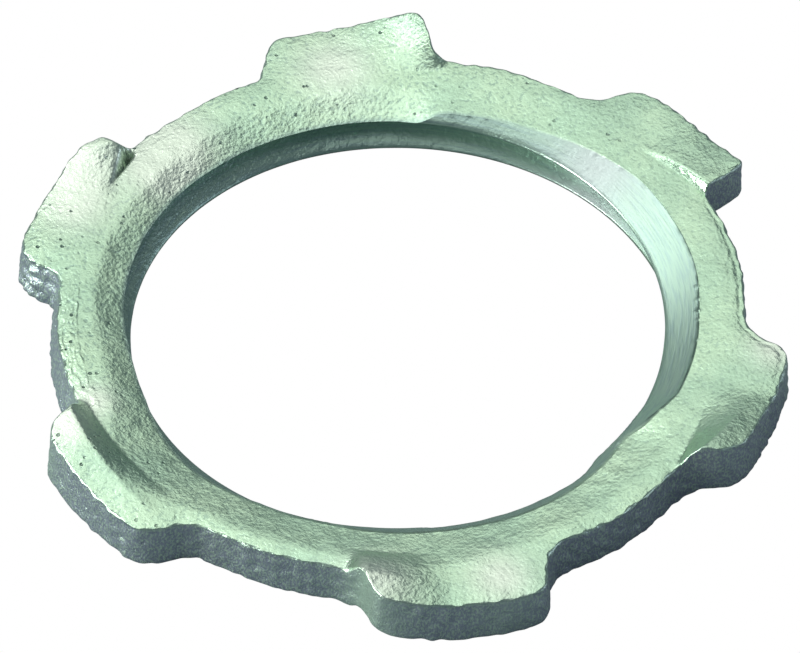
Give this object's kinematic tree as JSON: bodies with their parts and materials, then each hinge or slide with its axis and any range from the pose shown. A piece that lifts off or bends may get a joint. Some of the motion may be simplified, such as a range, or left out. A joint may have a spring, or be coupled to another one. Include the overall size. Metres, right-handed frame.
{
  "type": "conduit locknut",
  "caption": "Threaded steel ring with lugs round its rim, each bent up at one corner to bite a box wall; locks a conduit connector in its knockout.",
  "frame": {"origin": "on the thread axis, in the plane of the flat back face that the nut lies on", "axes": "+Z along the thread axis, from the flat back face towards the bent-up biting teeth; +X through the middle of one lug"},
  "size_m": [0.044, 0.0412, 0.0039],
  "materials": {
    "zinc_plate": "dull zinc coating on stamped steel: satin, finely pitted face, coarser and darker sheared edges"
  },
  "bodies": {
    "root": {"locknut": "zinc_plate"}
  },
  "joints": []
}
